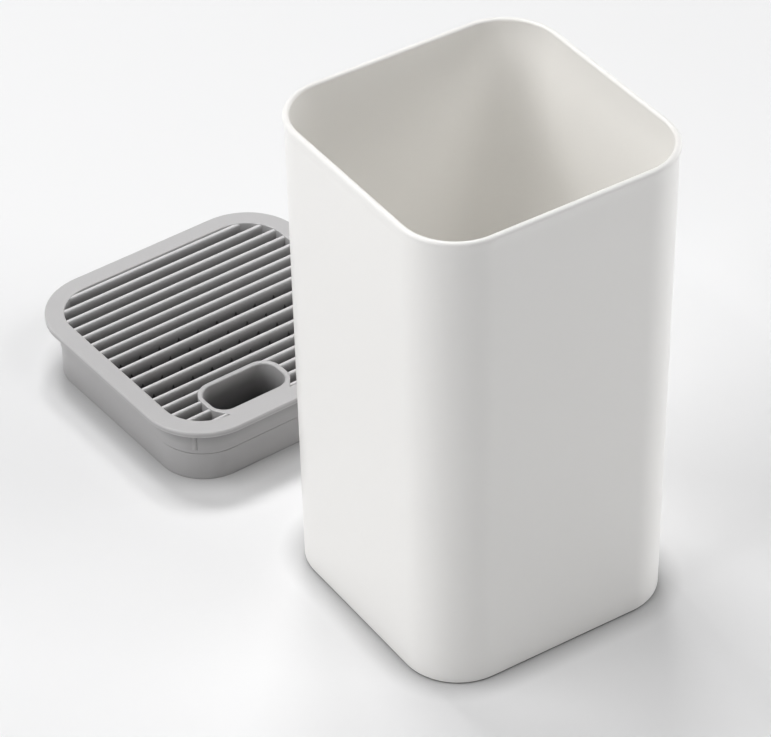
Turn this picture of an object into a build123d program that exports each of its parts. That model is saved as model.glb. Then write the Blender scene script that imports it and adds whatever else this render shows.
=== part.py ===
from build123d import *
from math import cos, radians, sin
import os

# An upright box for kitchen knives, with a slotted insert that lifts off its mouth.
# Millimetres, +Z up. The origin is on the table, under the middle of the box.
# The front of the box faces -Y. The insert lies on the table behind the box, taken off.

# Box
box_height = 225.0          # table to the top of the rim
mouth_outer_width = 124.8   # across the outer walls at the rim
draft = 1.7                 # each wall leans out by this much, from the base to the rim
corner_radius = 25.4        # outer corner, seen from above
wall = 2.2
floor_thickness = 3.0
foot_height = 0.5           # gap under the base
base_edge_radius = 0.5
floor_corner_radius = 4.0   # inside, where the walls meet the floor

# Rim bead, which stands out from the walls
bead_proud = 0.6
bead_height = 2.4
rim_outer_round = 1.4
rim_inner_round = 1.1
bead_under_bevel = 0.5

# Drain holes in the floor
drain_diameter = 6.0
drain_spacing = 36.0

# Rubber feet, pressed into round recesses under the base
foot_diameter = 14.0
foot_recess = 1.4
foot_fit = 0.05             # radial, between a foot and its recess
foot_edge_bevel = 0.3
foot_from_corner = 20.0     # foot centre to the base's two outer faces, along each axis

# Insert, where it lies
insert_x = -20.5
insert_y = 170.9
insert_turn = 3.2           # degrees, from above
insert_height = 30.9

# Flange that sits on the rim, and skirt that drops into the mouth
flange_overhang = 2.6       # past the rim bead, on each side
flange_thickness = 2.8
flange_top_round = 0.6
flange_under_bevel = 0.5
flange_inner_bevel = 0.3
skirt_clearance = 0.6       # to the mouth, on each side
skirt_wall = 2.7
skirt_step_height = 14.5    # the skirt is slimmer below this height
skirt_step = 0.4
skirt_edge_bevel = 0.25
locating_rib_proud = 0.5    # one rib on each corner, to centre the insert in the mouth
locating_rib_width = 2.4
locating_rib_lift = 1.9     # rib's lower end above the step

# Slats, all parallel to the front
slat_thickness = 1.8
slat_top_flat = 0.1         # left between a slat's two rounded top edges
slat_drop = 0.3             # slat tops below the flange's top
slat_lift = 0.5             # slat bottoms above the skirt's
edge_slat_gap = 0.6         # slit between the skirt and the first and last slats
narrow_gaps_behind = 7
wide_gaps = 4
narrow_gaps_in_front = 4
wide_pitch = 8.72
seam = 0.02                 # between a slat's end and the wall that it meets

# Pointed windows, in a row low in each slat
window_pitch = 10.3
window_width = 4.4
window_point_rise = 4.6
window_top = 4.4            # window point below the slat's top
window_bottom = 5.0         # window sill above the slat's bottom
window_end_margin = 2.5

# Well for scissors or a steel, open right through
well_length = 37.4
well_radius = 7.0
well_wall = 2.3
well_x = -20.6
well_back_gap = 4.4         # between the well's wall and the slat behind it
well_front_land = 3.1       # flat between the well and the skirt's inner face
well_land_length = 31.4     # of that flat, along the skirt
well_land_flare = 3.4       # its two ends slant out by this much
well_land_reach = 4.46      # and meet the well's corners this far from the skirt
well_top_round = 0.8

# Worked-out sizes of the box
wall_height = box_height - foot_height
base_outer_width = mouth_outer_width - 2 * draft
draft_per_mm = (mouth_outer_width - base_outer_width) / wall_height
rim_width = mouth_outer_width + 2 * bead_proud
floor_level = foot_height + floor_thickness
mouth_width = mouth_outer_width - 2 * wall
inner_corner_radius = corner_radius - wall

# Worked-out sizes of the insert
flange_width = rim_width + 2 * flange_overhang
flange_radius = corner_radius + bead_proud + flange_overhang
flange_underside = insert_height - flange_thickness
skirt_width = mouth_width - 2 * skirt_clearance
skirt_radius = inner_corner_radius - skirt_clearance
opening_width = skirt_width - 2 * skirt_wall
opening_radius = skirt_radius - skirt_wall
slat_height = insert_height - slat_drop - slat_lift
slat_top_round = (slat_thickness - slat_top_flat) / 2
last_slat_y = opening_width / 2 - edge_slat_gap - slat_thickness / 2
narrow_gaps = narrow_gaps_behind + narrow_gaps_in_front
narrow_pitch = (2 * last_slat_y - wide_gaps * wide_pitch) / narrow_gaps

# The well lies in front of the last slat of the wide part
slat_behind_well_y = last_slat_y - narrow_gaps_behind * narrow_pitch - wide_gaps * wide_pitch
well_outer_back = slat_behind_well_y - slat_thickness / 2 - well_back_gap
well_inner_front = -opening_width / 2 + well_front_land
well_width = well_outer_back - well_wall - well_inner_front
well_y = well_inner_front + well_width / 2

insert_base = Plane(
    origin=(insert_x, insert_y, 0),
    x_dir=(cos(radians(insert_turn)), sin(radians(insert_turn)), 0),
    z_dir=(0, 0, 1),
)
along_slats = Axis(insert_base.origin, insert_base.x_dir)


def outer_width_at(height):
    """Width across the box's outer walls at a height above the table."""
    return base_outer_width + draft_per_mm * (height - foot_height)


def keep(piece, label):
    """Name a finished piece and write it out."""
    piece.label = label
    export_step(piece, f"parts/{label}.step")


os.makedirs("parts", exist_ok=True)

# Box: a drafted shell with a floor, an open mouth and a rounded bead around the rim
with BuildPart() as box:
    for height in (foot_height, box_height):
        with BuildSketch(Plane.XY.offset(height)):
            RectangleRounded(outer_width_at(height), outer_width_at(height), corner_radius)
    loft(ruled=True)
    fillet(box.faces().sort_by(Axis.Z)[0].edges(), base_edge_radius)

    with BuildSketch(Plane.XY.offset(box_height - bead_height)):
        RectangleRounded(rim_width, rim_width, corner_radius + bead_proud)
    extrude(amount=bead_height)
    bead_faces = box.faces().filter_by(Axis.Z).sort_by(Axis.Z)
    chamfer(bead_faces[-2].outer_wire().edges(), bead_under_bevel)
    fillet(box.faces().sort_by(Axis.Z)[-1].edges(), rim_outer_round)

    for height in (floor_level, box_height):
        inner_width = outer_width_at(height) - 2 * wall
        with BuildSketch(Plane.XY.offset(height)):
            RectangleRounded(inner_width, inner_width, inner_corner_radius)
    loft(ruled=True, mode=Mode.SUBTRACT)
    floor_face = box.faces().filter_by(Axis.Z).filter_by(lambda f: abs(f.center().Z - floor_level) < 0.01)[0]
    fillet(floor_face.edges(), floor_corner_radius)
    fillet(box.faces().sort_by(Axis.Z)[-1].inner_wires()[0].edges(), rim_inner_round)

    with BuildSketch(Plane.XY.offset(foot_height)):
        with GridLocations(drain_spacing, drain_spacing, 2, 2):
            Circle(drain_diameter / 2)
    extrude(amount=floor_thickness, mode=Mode.SUBTRACT)

    foot_spacing = base_outer_width - 2 * foot_from_corner
    with BuildSketch(Plane.XY.offset(foot_height)):
        with GridLocations(foot_spacing, foot_spacing, 2, 2):
            Circle(foot_diameter / 2 + foot_fit)
    extrude(amount=foot_recess, mode=Mode.SUBTRACT)
keep(box.part, "box")

# Four rubber feet, each a round pad that fills its recess and stands out below it
for side, sign_y in (("front", -1), ("rear", 1)):
    for hand, sign_x in (("left", -1), ("right", 1)):
        with BuildPart() as foot:
            with BuildSketch(Plane.XY):
                with Locations((sign_x * foot_spacing / 2, sign_y * foot_spacing / 2)):
                    Circle(foot_diameter / 2)
            extrude(amount=foot_height + foot_recess)
            chamfer(foot.edges().sort_by(Axis.Z)[0], foot_edge_bevel)
        keep(foot.part, f"foot_{side}_{hand}")

# Insert frame: flange and skirt in one moulding, with a step and four locating ribs
with BuildPart() as insert_frame:
    with BuildSketch(insert_base.offset(flange_underside)):
        RectangleRounded(flange_width, flange_width, flange_radius)
    extrude(amount=flange_thickness)
    flange = insert_frame.faces().filter_by(Axis.Z).sort_by(Axis.Z)
    fillet(flange[-1].edges(), flange_top_round)
    chamfer(insert_frame.faces().sort_by(Axis.Z)[0].edges(), flange_under_bevel)

    with BuildSketch(insert_base.offset(skirt_step_height)):
        RectangleRounded(skirt_width, skirt_width, skirt_radius)
    extrude(amount=flange_underside - skirt_step_height)

    rib_seat = (skirt_width / 2 - skirt_radius) * 2 ** 0.5 + skirt_radius
    rib_centre = rib_seat + locating_rib_proud - locating_rib_width / 2
    rib_foot = skirt_step_height + locating_rib_lift
    with BuildSketch(insert_base.offset(rib_foot)):
        with PolarLocations(rib_centre, 4, start_angle=45):
            Circle(locating_rib_width / 2)
    extrude(amount=flange_underside - rib_foot)

    slim_width = skirt_width - 2 * skirt_step
    with BuildSketch(insert_base):
        RectangleRounded(slim_width, slim_width, skirt_radius - skirt_step)
    extrude(amount=skirt_step_height)
    chamfer(insert_frame.faces().sort_by(Axis.Z)[0].edges(), skirt_edge_bevel)

    with BuildSketch(insert_base):
        RectangleRounded(opening_width, opening_width, opening_radius)
    extrude(amount=insert_height, mode=Mode.SUBTRACT)
    chamfer(insert_frame.faces().sort_by(Axis.Z)[-1].inner_wires()[0].edges(), flange_inner_bevel)
keep(insert_frame.part, "insert_frame")


def well_outline(grow, mode=Mode.ADD):
    """The well's outer outline, with a land in front that joins it to the skirt along two slanted ends."""
    with Locations((well_x, well_y)):
        RectangleRounded(
            well_length + 2 * (well_wall + grow),
            well_width + 2 * (well_wall + grow),
            well_radius + well_wall + grow,
            mode=mode,
        )
    near_skirt = well_land_length / 2 + grow
    near_well = near_skirt + well_land_flare
    with Locations((well_x, -opening_width / 2)):
        Polygon(
            (-near_skirt, 0),
            (near_skirt, 0),
            (near_well, well_land_reach),
            (-near_well, well_land_reach),
            align=None,
            mode=mode,
        )


# Scissors well: a rounded oblong tube, joined to the frame by the land in front
with BuildPart() as scissors_well:
    with BuildSketch(insert_base.offset(slat_lift)):
        well_outline(0)
        RectangleRounded(
            opening_width - 2 * seam, opening_width - 2 * seam, opening_radius - seam, mode=Mode.INTERSECT
        )
    extrude(amount=insert_height - slat_lift)
    with BuildSketch(insert_base):
        with Locations((well_x, well_y)):
            RectangleRounded(well_length, well_width, well_radius)
    extrude(amount=insert_height, mode=Mode.SUBTRACT)
    fillet(scissors_well.faces().sort_by(Axis.Z)[-1].inner_wires()[0].edges(), well_top_round)
keep(scissors_well.part, "scissors_well")


def window_places(x_low, x_high):
    """Middles of the windows along a slat, wherever a whole one fits between its ends."""
    count = int(opening_width / window_pitch) // 2
    places = [number * window_pitch for number in range(-count, count + 1)]
    reach = window_width / 2 + window_end_margin
    return [x for x in places if x_low + reach < x < x_high - reach]


def window_outline():
    """A window with straight sides and a pointed top, standing on its sill."""
    half = window_width / 2
    height = slat_height - window_top - window_bottom
    shoulder = height - window_point_rise
    Polygon((-half, 0), (half, 0), (half, shoulder), (0, height), (-half, shoulder), align=None)


def half_opening_at(y):
    """Half the insert's opening along a slat at y, less where its corner is rounded."""
    corner = opening_width / 2 - opening_radius
    past = abs(y) + slat_thickness / 2 - corner
    if past <= 0:
        return opening_width / 2
    return corner + (opening_radius ** 2 - past ** 2) ** 0.5


def make_slat(y, side, label):
    """One slat from wall to wall, or only what is left or right of the well."""
    direction = {"": 0, "_left": -1, "_right": 1}[side]
    half_well = well_length / 2 + well_wall
    x_low = well_x + half_well if direction > 0 else -half_opening_at(y)
    x_high = well_x - half_well if direction < 0 else half_opening_at(y)
    with BuildPart() as slat:
        with BuildSketch(insert_base.offset(slat_lift)):
            with Locations((0, y)):
                Rectangle(opening_width, slat_thickness)
            RectangleRounded(
                opening_width - 2 * seam, opening_width - 2 * seam, opening_radius - seam, mode=Mode.INTERSECT
            )
            if direction:
                well_outline(seam, Mode.SUBTRACT)
                with Locations((well_x - direction * opening_width / 2, y)):
                    Rectangle(opening_width, slat_thickness, mode=Mode.SUBTRACT)
        extrude(amount=slat_height)
        top_edges = slat.edges().group_by(Axis.Z)[-1].filter_by(along_slats)
        fillet(top_edges, slat_top_round)

        places = window_places(x_low, x_high)
        if places:
            sill = insert_base.from_local_coords((0, y, slat_lift + window_bottom))
            with BuildSketch(Plane(origin=sill, x_dir=insert_base.x_dir, z_dir=-insert_base.y_dir)):
                with Locations(*[(x, 0) for x in places]):
                    window_outline()
            extrude(amount=slat_thickness, both=True, mode=Mode.SUBTRACT)
    keep(slat.part, label)


slat_y = [last_slat_y]
for number in range(narrow_gaps + wide_gaps):
    in_wide_part = narrow_gaps_behind <= number < narrow_gaps_behind + wide_gaps
    slat_y.append(slat_y[-1] - (wide_pitch if in_wide_part else narrow_pitch))

for number, y in enumerate(slat_y, start=1):
    meets_well = y < slat_behind_well_y - well_back_gap
    for side in ("_left", "_right") if meets_well else ("",):
        make_slat(y, side, f"slat_{number:02d}{side}")

print("slats", len(slat_y), "narrow pitch", round(narrow_pitch, 3))
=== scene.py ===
from math import cos, pi, radians, sin, sqrt

import bmesh
import bpy
from mathutils import Matrix, Vector


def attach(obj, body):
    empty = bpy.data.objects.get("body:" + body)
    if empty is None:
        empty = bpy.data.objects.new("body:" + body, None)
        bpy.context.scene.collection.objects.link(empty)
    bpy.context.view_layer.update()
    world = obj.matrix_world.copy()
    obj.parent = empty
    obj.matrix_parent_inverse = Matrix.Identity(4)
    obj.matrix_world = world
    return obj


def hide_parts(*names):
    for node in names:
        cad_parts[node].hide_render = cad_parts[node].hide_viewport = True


# The knife box and its slotted insert, dressed for the photograph's view.
# The object's sizes are in millimetres, as in the CAD, and become metres when a mesh is made.
# The grain of the materials, the floor, the lamps and the camera are in metres.

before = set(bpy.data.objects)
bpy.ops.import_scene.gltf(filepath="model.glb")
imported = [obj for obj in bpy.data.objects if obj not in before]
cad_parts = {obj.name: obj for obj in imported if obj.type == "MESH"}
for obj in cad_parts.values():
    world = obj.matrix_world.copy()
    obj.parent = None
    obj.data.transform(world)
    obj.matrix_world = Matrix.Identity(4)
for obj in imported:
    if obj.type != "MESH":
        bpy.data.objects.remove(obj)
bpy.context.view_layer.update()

MM = 0.001

# Box
box_height = 225.0
mouth_outer_width = 124.8
draft = 1.7                 # each wall leans out by this much, from the base to the rim
corner_radius = 25.4
wall = 2.2
floor_thickness = 3.0
foot_height = 0.5
base_edge_radius = 0.5
floor_corner_radius = 4.0
rim_swell = 0.6             # the rim stands out from the wall by this much
rim_swell_height = 5.0      # and blends into it over this height
rim_outer_round = 1.4
rim_inner_round = 1.1
drain_radius = 3.0
drain_from_middle = 18.0
foot_hole_radius = 7.05
foot_hole_depth = 1.4
foot_from_middle = 40.7

# Insert
insert_place = Vector((-20.5, 170.9, 0))
insert_turn = radians(3.2)
insert_height = 30.9
flange_overhang = 2.6       # past the rim
flange_thickness = 2.8
flange_top_round = 0.6
flange_under_round = 0.5
skirt_clearance = 0.6       # to the inside of the mouth
skirt_wall = 2.7
skirt_root_round = 0.4
skirt_step = 0.4            # the skirt is slimmer below the step
skirt_step_height = 14.5
skirt_edge_bevel = 0.25
step_groove_depth = 0.22    # a fine groove under the step
step_groove_width = 0.4
opening_round = 0.4
rib_proud = 0.7             # one half-round locating rib on each corner
rib_foot = 16.4
rib_foot_slope = 0.5
rib_angles = (0, 0.8, 1.5, 2.1, 2.55, 2.85, 3)    # degrees from a corner's middle, across half of the rib
rib_margin = 0.8                                  # degrees without steps beside the rib

# Well for scissors, in the insert's own frame
well_x = -20.6
well_half_length = 18.7
well_half_width = 9.2
well_radius = 7.0
well_wall = 2.3
well_round = 0.8
land_width = 3.1            # flat in front of the well, between it and the skirt
land_half_length = 15.7
land_flare = 3.4            # the land's ends slant out by this much
land_reach = 4.46           # and meet the well's corners this far from the skirt

# Worked-out sizes of the insert, with insets measured from the flange's edge
flange_half = mouth_outer_width / 2 + rim_swell + flange_overhang
flange_radius = corner_radius + rim_swell + flange_overhang
skirt_inset = flange_overhang + rim_swell + wall + skirt_clearance
opening_inset = skirt_inset + skirt_wall
opening_half = flange_half - opening_inset
well_y = land_width + well_half_width - opening_half

# Round stretches
corner_middle = 45          # degrees
corner_steps = 24
opening_corner_steps = 16
well_corner_steps = 12
hole_steps = 32
swell_steps = 8
sharp_angle = radians(35)   # edges that bend by more than this stay sharp


# Outlines and profiles

def corner_angles(steps):
    """Degrees around one quarter turn, evenly stepped."""
    return [90 * n / steps for n in range(steps + 1)]


def ribbed_corner_angles(steps):
    """The same, with closer steps across the locating rib at the corner's middle."""
    clear = rib_angles[-1] + rib_margin
    beside = [angle for angle in corner_angles(steps) if abs(angle - corner_middle) > clear]
    across = {corner_middle + side * angle for angle in rib_angles for side in (-1, 1)}
    return sorted([*beside, *across])


def rounded_outline(half_x, half_y, radius, angles, reach=None):
    """Points around a rounded rectangle, anticlockwise.
    reach(radius, angle) gives how far a point is from its corner's centre, where that isn't the radius."""
    points = []
    for quarter, (side_x, side_y) in enumerate(((1, 1), (-1, 1), (-1, -1), (1, -1))):
        for angle in angles:
            out = reach(radius, angle) if reach else radius
            turn = radians(90 * quarter + angle)
            points.append((
                side_x * (half_x - radius) + out * cos(turn),
                side_y * (half_y - radius) + out * sin(turn),
            ))
    return points


def offset_outline(points, distance):
    """A closed anticlockwise outline moved outwards, each corner along its mitre."""
    moved = []
    count = len(points)
    for n in range(count):
        before = Vector(points[n]) - Vector(points[n - 1])
        after = Vector(points[(n + 1) % count]) - Vector(points[n])
        normal_before = Vector((before.y, -before.x)).normalized()
        normal_after = Vector((after.y, -after.x)).normalized()
        mitre = (normal_before + normal_after) / (1 + normal_before.dot(normal_after))
        moved.append(tuple(Vector(points[n]) + distance * mitre))
    return moved


def arc(across, height, radius, start, end, steps):
    """Profile points (across, height) on an arc about a centre, between two angles in degrees."""
    turns = [radians(start + (end - start) * n / steps) for n in range(steps + 1)]
    return [(across + radius * cos(turn), height + radius * sin(turn)) for turn in turns]


def at_height(points, height):
    return [(x, y, height) for x, y in points]


# Meshes

def add_rings(mesh, rings):
    """Joins rings of equally many points by bands of faces."""
    made = [[mesh.verts.new(Vector(point) * MM) for point in ring] for ring in rings]
    for low, high in zip(made, made[1:]):
        for n in range(len(low)):
            mesh.faces.new((low[n - 1], low[n], high[n], high[n - 1]))
    return made


def fill_flat(mesh, loops):
    """Fills the flat area between an outer loop of vertices and the loops inside it."""
    edges = []
    for loop in loops:
        for n in range(len(loop)):
            ends = (loop[n - 1], loop[n])
            edges.append(mesh.edges.get(ends) or mesh.edges.new(ends))
    bmesh.ops.triangle_fill(mesh, use_beauty=True, edges=edges)


def give_inside_material(mesh, outside_faces):
    """Gives the second material to the faces made so far, apart from the first ones, which are outside."""
    for n, face in enumerate(mesh.faces):
        face.material_index = int(n >= outside_faces)


def finish_piece(mesh, name, body, nodes, materials, place=Matrix.Identity(4)):
    """Turns a closed bmesh into a shaded piece that rides on its body and stands for its CAD nodes."""
    bmesh.ops.recalc_face_normals(mesh, faces=mesh.faces)
    mesh.transform(place)
    data = bpy.data.meshes.new(name)
    mesh.to_mesh(data)
    mesh.free()
    for polygon in data.polygons:
        polygon.use_smooth = True
    data.set_sharp_from_angle(angle=sharp_angle)
    for material in materials:
        data.materials.append(material)
    piece = bpy.data.objects.new(name, data)
    bpy.context.scene.collection.objects.link(piece)
    shading = piece.modifiers.new("even_shading", "WEIGHTED_NORMAL")
    shading.keep_sharp = True
    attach(piece, body)
    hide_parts(*nodes)


# Materials

noise_low = 0.3             # most of a noise texture's values lie between these
noise_high = 0.7


def add_noise(nodes, links, size, detail):
    """Noise with features of that size, in metres on the object."""
    place = nodes.new("ShaderNodeTexCoord")
    noise = nodes.new("ShaderNodeTexNoise")
    noise.inputs["Scale"].default_value = 1 / size
    noise.inputs["Detail"].default_value = detail
    links.new(place.outputs["Object"], noise.inputs["Vector"])
    return noise.outputs["Fac"]


def add_grain(nodes, links, shader, size, depth):
    """Fine moulded grain of that size and depth, as a bump."""
    bump = nodes.new("ShaderNodeBump")
    bump.inputs["Strength"].default_value = 1
    bump.inputs["Distance"].default_value = depth
    links.new(add_noise(nodes, links, size, detail=2), bump.inputs["Height"])
    links.new(bump.outputs["Normal"], shader.inputs["Normal"])


def vary_roughness(nodes, links, shader, size, low, high):
    """Patches of slightly different gloss, as handled and moulded plastic has."""
    spread = nodes.new("ShaderNodeMapRange")
    spread.inputs["From Min"].default_value = noise_low
    spread.inputs["From Max"].default_value = noise_high
    spread.inputs["To Min"].default_value = low
    spread.inputs["To Max"].default_value = high
    links.new(add_noise(nodes, links, size, detail=3), spread.inputs["Value"])
    links.new(spread.outputs["Result"], shader.inputs["Roughness"])


def paint_light_and_shade_by_height(nodes, links, shader, tint, tones):
    """The tint, darkened by a tone that changes up the piece: light and shade painted by height."""
    place = nodes.new("ShaderNodeTexCoord")
    split = nodes.new("ShaderNodeSeparateXYZ")
    ramp = nodes.new("ShaderNodeValToRGB")
    stops = ramp.color_ramp.elements
    for n, (height, tone) in enumerate(tones):
        stop = stops[n] if n < len(stops) else stops.new(height)
        stop.position = height
        stop.color = (*(tone * part for part in tint), 1)
    links.new(place.outputs["Generated"], split.inputs["Vector"])
    links.new(split.outputs["Z"], ramp.inputs["Fac"])
    links.new(ramp.outputs["Color"], shader.inputs["Base Color"])


def moulded(name, colour, gloss, grain, tones=()):
    """A moulded plastic or rubber.
    gloss is (size of its patches, lowest roughness, highest roughness), and grain is (size, depth).
    tones paint light and shade onto the colour by height: two or more pairs (share of the piece's height,
    tone), lowest first."""
    material = bpy.data.materials.new(name)
    material.use_nodes = True
    nodes = material.node_tree.nodes
    links = material.node_tree.links
    shader = nodes["Principled BSDF"]
    vary_roughness(nodes, links, shader, *gloss)
    add_grain(nodes, links, shader, *grain)
    if tones:
        paint_light_and_shade_by_height(nodes, links, shader, colour, tones)
    else:
        shader.inputs["Base Color"].default_value = (*colour, 1)
    return material


satin_gloss = (0.03, 0.29, 0.35)
satin_grain = (0.0008, 0.000002)
matt_gloss = (0.02, 0.34, 0.41)
matt_grain = (0.0004, 0.00001)
rubber_gloss = (0.004, 0.65, 0.8)
rubber_grain = (0.0006, 0.00003)

outer_tint = (1, 0.989, 0.968)
# The inside's tint is warmer and its tone lighter than the outside's: painted light inside the box.
inner_lit_tint = (1, 0.984, 0.952)
insert_tint = (1, 0.985, 0.99)
rubber_grey = (0.35, 0.35, 0.35)

# The walls have one tone, and the last millimetre or two up to the rim's top is greyer: painted shade that
# dulls the lit rim.
outer_tones_rim_shade = ((0.994, 0.93), (1, 0.885))
inner_lit_tones_rim_shade = ((0.992, 0.972), (1, 0.885))
# The skirt's painted shade is darkest under the flange, and the flange's edges and top have painted
# highlights.
skirt_painted_shade_tones = ((0.6, 0.4), (0.8, 0.27), (0.9, 0.3))
flange_painted_light_tones = ((0.915, 0.46), (0.95, 0.39), (0.985, 0.54), (1, 0.5))
# The slots and the well have painted shade that darkens with depth, and the slats' tops a painted highlight.
slot_painted_shade_tones = ((0.74, 0.12), (0.85, 0.33), (0.93, 0.48), (0.975, 0.67))
well_painted_shade_tones = ((0.4, 0.07), (0.75, 0.28), (0.97, 0.49))

white_plastic_rim_shade = moulded("white_plastic_rim_shade", outer_tint, satin_gloss, satin_grain, outer_tones_rim_shade)
inner_plastic_painted_light = moulded("inner_plastic_painted_light", inner_lit_tint, satin_gloss, satin_grain, inner_lit_tones_rim_shade)
grey_plastic_painted_light_and_shade = moulded("grey_plastic_painted_light_and_shade", insert_tint, matt_gloss, matt_grain, skirt_painted_shade_tones + flange_painted_light_tones)
slot_plastic_painted_light_and_shade = moulded("slot_plastic_painted_light_and_shade", insert_tint, matt_gloss, matt_grain, slot_painted_shade_tones)
well_plastic_painted_shade = moulded("well_plastic_painted_shade", insert_tint, matt_gloss, matt_grain, well_painted_shade_tones)
foot_rubber = moulded("foot_rubber", rubber_grey, rubber_gloss, rubber_grain)

# The CAD's slats take the slot plastic with its painted light and shade, and the other nodes the grey with
# its painted shade.
for name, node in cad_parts.items():
    look = grey_plastic_painted_light_and_shade
    if name.startswith("slat"):
        look = slot_plastic_painted_light_and_shade
    if name.startswith("foot"):
        look = foot_rubber
    node.data.materials.clear()
    node.data.materials.append(look)


# The box: one shell with a soft lip, drain holes and recesses for the feet

def box_ring(across, height, angles):
    """The wall's outline at a height, moved out by across."""
    lean = draft * (height - foot_height) / (box_height - foot_height)
    half = mouth_outer_width / 2 - draft + lean + across
    return at_height(rounded_outline(half, half, corner_radius + across, angles), height)


def box_profile():
    """The shell's section in two parts: up the outside from the base's edge, and down the inside.
    Each point is (across, height)."""
    floor_level = foot_height + floor_thickness
    swell_top = box_height - rim_outer_round
    outside = arc(-base_edge_radius, foot_height + base_edge_radius, base_edge_radius, -90, 0, steps=4)
    for n in range(swell_steps + 1):
        share = n / swell_steps
        swell = rim_swell * share * share * (3 - 2 * share)
        outside.append((swell, swell_top - rim_swell_height * (1 - share)))
    outside += arc(rim_swell - rim_outer_round, swell_top, rim_outer_round, 0, 90, steps=7)[1:]
    inside = arc(rim_inner_round - wall, box_height - rim_inner_round, rim_inner_round, 90, 180, steps=6)
    inside += arc(
        -wall - floor_corner_radius, floor_level + floor_corner_radius, floor_corner_radius, 0, -90, steps=8
    )
    return outside, inside


def round_holes(mesh, from_middle, radius, low, high):
    """Four round holes on a square, open at both ends. Returns their lower and upper loops."""
    low_loops, high_loops = [], []
    turns = [2 * pi * n / hole_steps for n in range(hole_steps)]
    for side_x in (-1, 1):
        for side_y in (-1, 1):
            circle = [
                (side_x * from_middle + radius * cos(turn), side_y * from_middle + radius * sin(turn))
                for turn in turns
            ]
            bottom, top = add_rings(mesh, [at_height(circle, low), at_height(circle, high)])
            low_loops.append(bottom)
            high_loops.append(top)
    return low_loops, high_loops


def make_box():
    mesh = bmesh.new()
    angles = corner_angles(corner_steps)
    outside, inside = box_profile()
    rings = add_rings(mesh, [box_ring(across, height, angles) for across, height in outside + inside])
    # The inside faces take the second material, the lighter copy of the white with its painted light.
    give_inside_material(mesh, outside_faces=len(outside) * len(rings[0]))
    floor_level = foot_height + floor_thickness
    drains_below, drains_above = round_holes(mesh, drain_from_middle, drain_radius, foot_height, floor_level)
    recesses_below, recesses_above = round_holes(
        mesh, foot_from_middle, foot_hole_radius, foot_height, foot_height + foot_hole_depth
    )
    fill_flat(mesh, [rings[-1], *drains_above])
    fill_flat(mesh, [rings[0], *drains_below, *recesses_below])
    for loop in recesses_above:
        mesh.faces.new(loop)
    finish_piece(mesh, "box_shell", "box", ["box"], [white_plastic_rim_shade, inner_plastic_painted_light])


# The insert's moulding: flange, skirt, ribs and well in one piece

def well_outline(wider):
    """The well's outline, with all of its sides moved out by wider."""
    angles = corner_angles(well_corner_steps)
    outline = rounded_outline(well_half_length + wider, well_half_width + wider, well_radius + wider, angles)
    return [(x + well_x, y + well_y) for x, y in outline]


def slot_field_outline():
    """The opening that the slats cross: the skirt's inside, less the well and the land in front of it."""
    outer = rounded_outline(
        opening_half, opening_half, flange_radius - opening_inset, corner_angles(opening_corner_steps)
    )
    front_edge = len(outer) * 3 // 4
    land_back = land_reach - opening_half
    # Round the back of the well, from the land's left end to its right end
    around = [point for point in reversed(well_outline(well_wall)) if point[1] > land_back]
    start = next(n for n, point in enumerate(around) if point[0] < well_x and around[n - 1][0] > well_x)
    around = around[start:] + around[:start]
    near_skirt = land_half_length
    near_well = near_skirt + land_flare
    land_left = [(well_x - near_skirt, -opening_half), (well_x - near_well, land_back)]
    land_right = [(well_x + near_well, land_back), (well_x + near_skirt, -opening_half)]
    return outer[:front_edge] + land_left + around + land_right + outer[front_edge:]


def rib_reach(radius, angle):
    """A corner's radius, or the face of the half-round locating rib at its middle."""
    share = abs(angle - corner_middle) / rib_angles[-1]
    if share >= 1:
        return radius
    return max(radius, flange_radius - skirt_inset + rib_proud * sqrt(1 - share * share))


def insert_profile():
    """The moulding's outer section, from the flange's top edge down to the skirt's lower edge.
    Each point is (across, height, whether the ribs show there)."""
    underside = insert_height - flange_thickness
    top = arc(-flange_top_round, insert_height - flange_top_round, flange_top_round, 90, 0, steps=4)
    under = arc(-flange_under_round, underside + flange_under_round, flange_under_round, 0, -90, steps=4)
    root = arc(
        skirt_root_round - skirt_inset, underside - skirt_root_round, skirt_root_round, 90, 180, steps=4
    )
    slim = -skirt_inset - skirt_step
    groove_low = skirt_step_height - step_groove_width
    return (
        [(across, height, False) for across, height in top + under]
        + [(across, height, True) for across, height in root]
        + [
            (-skirt_inset, rib_foot + rib_foot_slope, True),
            (-skirt_inset, rib_foot, False),
            (-skirt_inset, skirt_step_height + skirt_edge_bevel, False),
            (-skirt_inset - skirt_edge_bevel, skirt_step_height, False),
            (slim - step_groove_depth, skirt_step_height, False),
            (slim - step_groove_depth, groove_low, False),
            (slim, groove_low, False),
            (slim, skirt_edge_bevel, False),
            (slim - skirt_edge_bevel, 0, False),
        ]
    )


def flange_ring(across, height, ribbed, angles):
    """The flange's outline at a height, moved out by across."""
    half = flange_half + across
    reach = rib_reach if ribbed else None
    return at_height(rounded_outline(half, half, flange_radius + across, angles, reach), height)


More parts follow.
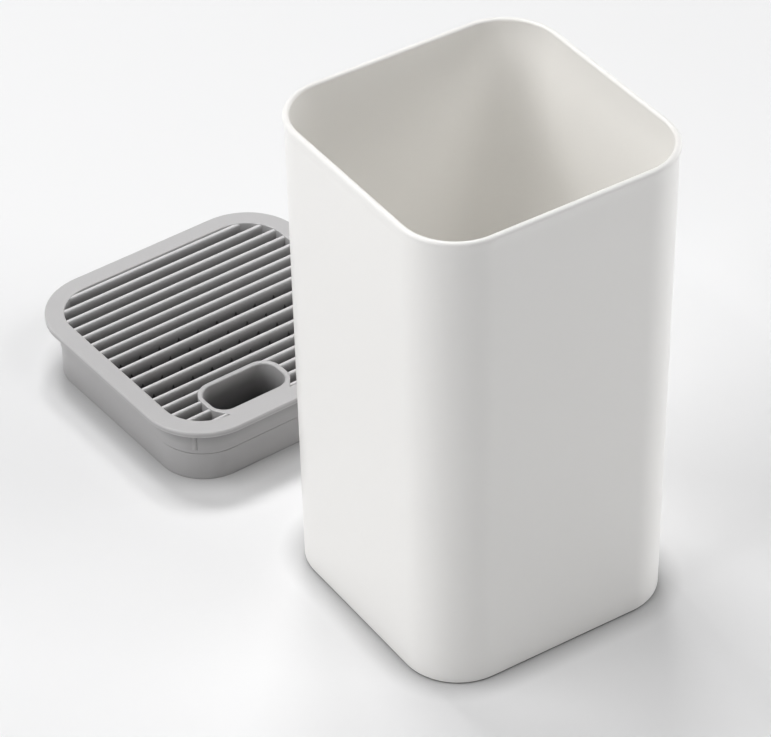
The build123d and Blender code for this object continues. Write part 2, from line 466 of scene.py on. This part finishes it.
def make_moulding():
    mesh = bmesh.new()
    angles = ribbed_corner_angles(corner_steps)
    outside = add_rings(mesh, [flange_ring(*point, angles) for point in insert_profile()])
    outside_faces = len(mesh.faces)
    field = slot_field_outline()
    field_edge = arc(opening_round, insert_height - opening_round, opening_round, 90, 180, steps=3)
    field_rings = [at_height(offset_outline(field, across), height) for across, height in field_edge]
    inside = add_rings(mesh, [*field_rings, at_height(field, 0)])
    well_edge = arc(well_round, insert_height - well_round, well_round, 90, 180, steps=5)
    well_rings = [at_height(well_outline(across), height) for across, height in well_edge]
    hole = add_rings(mesh, [*well_rings, at_height(well_outline(0), 0)])
    # The opening's walls and the well take the well plastic, with its painted shade in the depths.
    give_inside_material(mesh, outside_faces)
    fill_flat(mesh, [outside[0], inside[0], hole[0]])
    fill_flat(mesh, [outside[-1], inside[-1], hole[-1]])
    place = Matrix.Translation(insert_place * MM) @ Matrix.Rotation(insert_turn, 4, "Z")
    finish_piece(mesh, "insert_moulding", "insert", ["insert_frame", "scissors_well"],
                 [grey_plastic_painted_light_and_shade, well_plastic_painted_shade], place)


make_box()
make_moulding()


# Floor, and what the camera and reflections see beyond it

floor_size = 12
contact_shade_distance = 0.012    # painted shade: the floor is darker where the object is nearer than this
painted_contact_shade = (0.15, 0.15, 0.152, 1)
floor_grey = (0.9, 0.9, 0.905, 1)
white = (1, 1, 1, 1)
fade_start = 0.55           # from here to fade_end, the floor that is seen turns white
fade_end = 1.6


def seen_rays(nodes, links):
    """1 for rays from the camera, in reflections and through clear parts, and 0 for light on a surface."""
    path = nodes.new("ShaderNodeLightPath")
    total = path.outputs["Is Camera Ray"]
    for name in ("Is Glossy Ray", "Is Transmission Ray"):
        either = nodes.new("ShaderNodeMath")
        either.operation = "MAXIMUM"
        links.new(total, either.inputs[0])
        links.new(path.outputs[name], either.inputs[1])
        total = either.outputs["Value"]
    return total


def floor_material():
    """Pale matt floor with painted shade, darker in the narrow gaps where it meets the object, and seen as
    white far away.
    """
    material = bpy.data.materials.new("floor")
    material.use_nodes = True
    nodes = material.node_tree.nodes
    links = material.node_tree.links
    shader = nodes["Principled BSDF"]
    shader.inputs["Roughness"].default_value = 0.9
    openness = nodes.new("ShaderNodeAmbientOcclusion")
    openness.inputs["Distance"].default_value = contact_shade_distance
    tone = nodes.new("ShaderNodeMix")
    tone.data_type = "RGBA"
    tone.inputs["A"].default_value = painted_contact_shade
    tone.inputs["B"].default_value = floor_grey
    links.new(openness.outputs["AO"], tone.inputs["Factor"])
    links.new(tone.outputs["Result"], shader.inputs["Base Color"])

    place = nodes.new("ShaderNodeTexCoord")
    distance = nodes.new("ShaderNodeVectorMath")
    distance.operation = "LENGTH"
    far = nodes.new("ShaderNodeMapRange")
    far.interpolation_type = "SMOOTHSTEP"
    far.inputs["From Min"].default_value = fade_start
    far.inputs["From Max"].default_value = fade_end
    whiteness = nodes.new("ShaderNodeMath")
    whiteness.operation = "MULTIPLY"
    paper = nodes.new("ShaderNodeEmission")
    paper.inputs["Color"].default_value = white
    blend = nodes.new("ShaderNodeMixShader")
    links.new(place.outputs["Object"], distance.inputs[0])
    links.new(distance.outputs["Value"], far.inputs["Value"])
    links.new(far.outputs["Result"], whiteness.inputs[0])
    links.new(seen_rays(nodes, links), whiteness.inputs[1])
    links.new(whiteness.outputs["Value"], blend.inputs["Fac"])
    links.new(shader.outputs["BSDF"], blend.inputs[1])
    links.new(paper.outputs["Emission"], blend.inputs[2])
    links.new(blend.outputs["Shader"], nodes["Material Output"].inputs["Surface"])
    return material


bpy.ops.mesh.primitive_plane_add(size=floor_size, location=(0, 0, 0))
floor = bpy.context.object
floor.name = "floor"
floor.data.materials.append(floor_material())

# A white studio to the camera and in reflections. The lamps alone give the light.
world = bpy.data.worlds.new("studio")
world.use_nodes = True
world_nodes = world.node_tree.nodes
world_links = world.node_tree.links
sky = world_nodes["Background"]
sky.inputs["Color"].default_value = white
world_links.new(seen_rays(world_nodes, world_links), sky.inputs["Strength"])
bpy.context.scene.world = world

bpy.context.scene.view_settings.view_transform = "Standard"


# Lamps

subject = (0, 0.05, 0.1)
upper_subject = (0, 0.05, 0.12)
wide = (0.8, 0.8)
small = (0.4, 0.4)
card = (1.0, 0.6)

# Name, place, what it points at, its width and height, and its power in watts
area_lamps = (
    ("left", (-1.854, 0.05, 0.849), subject, wide, 11.2),
    ("left_high", (-1.286, 0.05, 1.632), subject, wide, 3.8),
    ("back_left", (-1.113, 0.693, 1.632), subject, wide, 10.3),
    ("back", (0, 1.05, 1.832), subject, small, 10.7),
    ("back_right", (0.5, 0.916, 1.832), subject, small, 8.7),
    ("front_right", (0.643, -1.063, 1.632), subject, wide, 8.0),
    ("front_card", (1.559, -0.9, 0.35), upper_subject, card, 6.0),
    ("right_card", (1.8, 0, 0.35), upper_subject, card, 9.5),
)


def place_lamp(name, data, place, target):
    """Puts a lamp in the scene, pointed at its target and unseen by the camera."""
    lamp = bpy.data.objects.new(name, data)
    lamp.location = place
    lamp.rotation_euler = (Vector(target) - Vector(place)).to_track_quat("-Z", "Y").to_euler()
    lamp.visible_camera = False
    bpy.context.scene.collection.objects.link(lamp)


for name, place, target, (width, height), power in area_lamps:
    area_lamp = bpy.data.lights.new(name, "AREA")
    area_lamp.shape = "RECTANGLE"
    area_lamp.size = width
    area_lamp.size_y = height
    area_lamp.energy = power
    place_lamp(name, area_lamp, place, target)

# One narrow lamp shines into the box's mouth.
mouth_middle = (0, 0, box_height * MM)
mouth_lamp = bpy.data.lights.new("mouth", "SPOT")
mouth_lamp.energy = 17
mouth_lamp.spot_size = radians(4.3)
mouth_lamp.spot_blend = 1
mouth_lamp.shadow_soft_size = 0.05
place_lamp("mouth", mouth_lamp, (-0.75, -0.45, 1.536), mouth_middle)


# Camera, at the photograph's viewing angle

photo_width = 771           # pixels
focal_length = 3944.8       # in the same pixels
camera_turn = radians(-32.752)
camera_height_angle = radians(38.339)
camera_roll = radians(-1.005)
camera_place = Vector((-0.71148, -1.03472, 1.09861))

back = Vector((
    sin(camera_turn) * cos(camera_height_angle),
    -cos(camera_turn) * cos(camera_height_angle),
    sin(camera_height_angle),
))
level_right = Vector((cos(camera_turn), sin(camera_turn), 0))
level_up = back.cross(level_right)
right = cos(camera_roll) * level_right + sin(camera_roll) * level_up
up = cos(camera_roll) * level_up - sin(camera_roll) * level_right

camera_data = bpy.data.cameras.new("camera")
camera_data.sensor_width = 36
camera_data.lens = focal_length / photo_width * camera_data.sensor_width
camera_data.clip_start = 0.05
camera_data.clip_end = 50
camera = bpy.data.objects.new("camera", camera_data)
camera.matrix_world = Matrix.Translation(camera_place) @ Matrix((right, up, back)).transposed().to_4x4()
bpy.context.scene.collection.objects.link(camera)
bpy.context.scene.camera = camera
